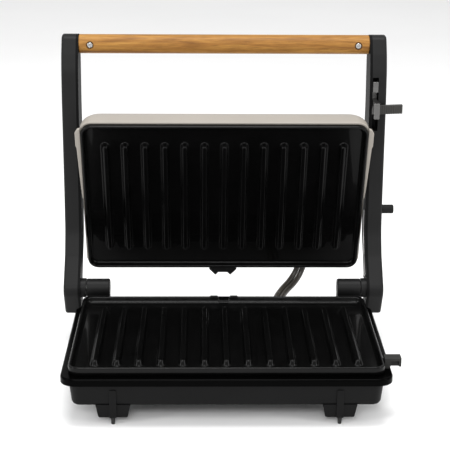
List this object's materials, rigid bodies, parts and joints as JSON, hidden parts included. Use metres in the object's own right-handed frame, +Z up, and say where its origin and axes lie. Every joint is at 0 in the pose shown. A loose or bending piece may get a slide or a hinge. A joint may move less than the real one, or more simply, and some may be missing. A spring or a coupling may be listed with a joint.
{
  "type": "panini press",
  "caption": "Open contact grill with ribbed non-stick plates, a cream lid carried on swinging side arms, a round wooden handle bar and a sliding side latch.",
  "frame": {"origin": "on the floor under the middle of the base housing, between the four feet", "axes": "+X to the right seen from the front, +Y to the hinge side at the back, +Z up"},
  "size_m": [0.2861, 0.2455, 0.2604],
  "materials": {
    "black_plastic": "fine satin, moulded",
    "bezel_plastic": "polished",
    "cover_plastic": "satin, cream",
    "nonstick_plate": "cast, glossy non-stick coating",
    "handle_wood": "oiled, grain along the bar",
    "steel": "brushed",
    "sheet_steel": "rolled sheet",
    "heater": "oxidised sheath",
    "ceramic_white": "unglazed",
    "grey_plastic": "ribbed, grey",
    "black_rubber": "matte",
    "lead_sheath": "smooth, twin strand"
  },
  "bodies": {
    "base": {"base_housing": "black_plastic", "foot_studs": "black_rubber", "tray_bezel": "bezel_plastic", "lower_grill_plate": "nonstick_plate", "lower_element": "heater", "lower_reflector": "sheet_steel", "thermostat": "sheet_steel", "terminal_block": "ceramic_white", "hinge_barrel_left": "black_plastic", "hinge_barrel_right": "black_plastic", "hinge_pins": "steel", "latch_catch": "grey_plastic", "mains_inlet_bush": "black_rubber", "base_lead_bush": "black_rubber", "housing_screws": "steel", "link_lead": "lead_sheath"},
    "arms": {"arm_left": "black_plastic", "arm_right": "black_plastic", "arm_inner_cover_left": "black_plastic", "arm_inner_cover_right": "black_plastic", "lid_pivot_pins": "steel", "handle_bar": "handle_wood", "handle_screws": "steel", "arm_peg": "black_plastic", "stay_wire": "steel"},
    "latch": {"latch_slider": "steel", "latch_lever": "grey_plastic"},
    "lid": {"lid_cover": "cover_plastic", "lid_frame": "sheet_steel", "upper_grill_plate": "nonstick_plate", "upper_element": "heater", "upper_reflector": "sheet_steel", "thermal_fuse": "ceramic_white", "lid_lead_bush": "black_rubber"}
  },
  "joints": [
    {"name": "arm_swing", "type": "hinge", "parent": "base", "child": "arms", "pos_m": [0, 0.0805, 0.0502], "axis": [1, 0, 0], "range_deg": [0, 99], "deforming": ["link_lead"]},
    {"name": "lid_tilt", "type": "hinge", "parent": "arms", "child": "lid", "pos_m": [0, 0.1222, 0.1508], "axis": [1, 0, 0], "range_deg": [-28.5, 0]},
    {"name": "latch_slide", "type": "slide", "parent": "arms", "child": "latch", "axis": [0, 0, -1], "range_m": [0, 0.007]}
  ],
  "couplings": [
    {"joint": "lid_tilt", "follows": "arm_swing", "ratio": -0.28283}
  ]
}
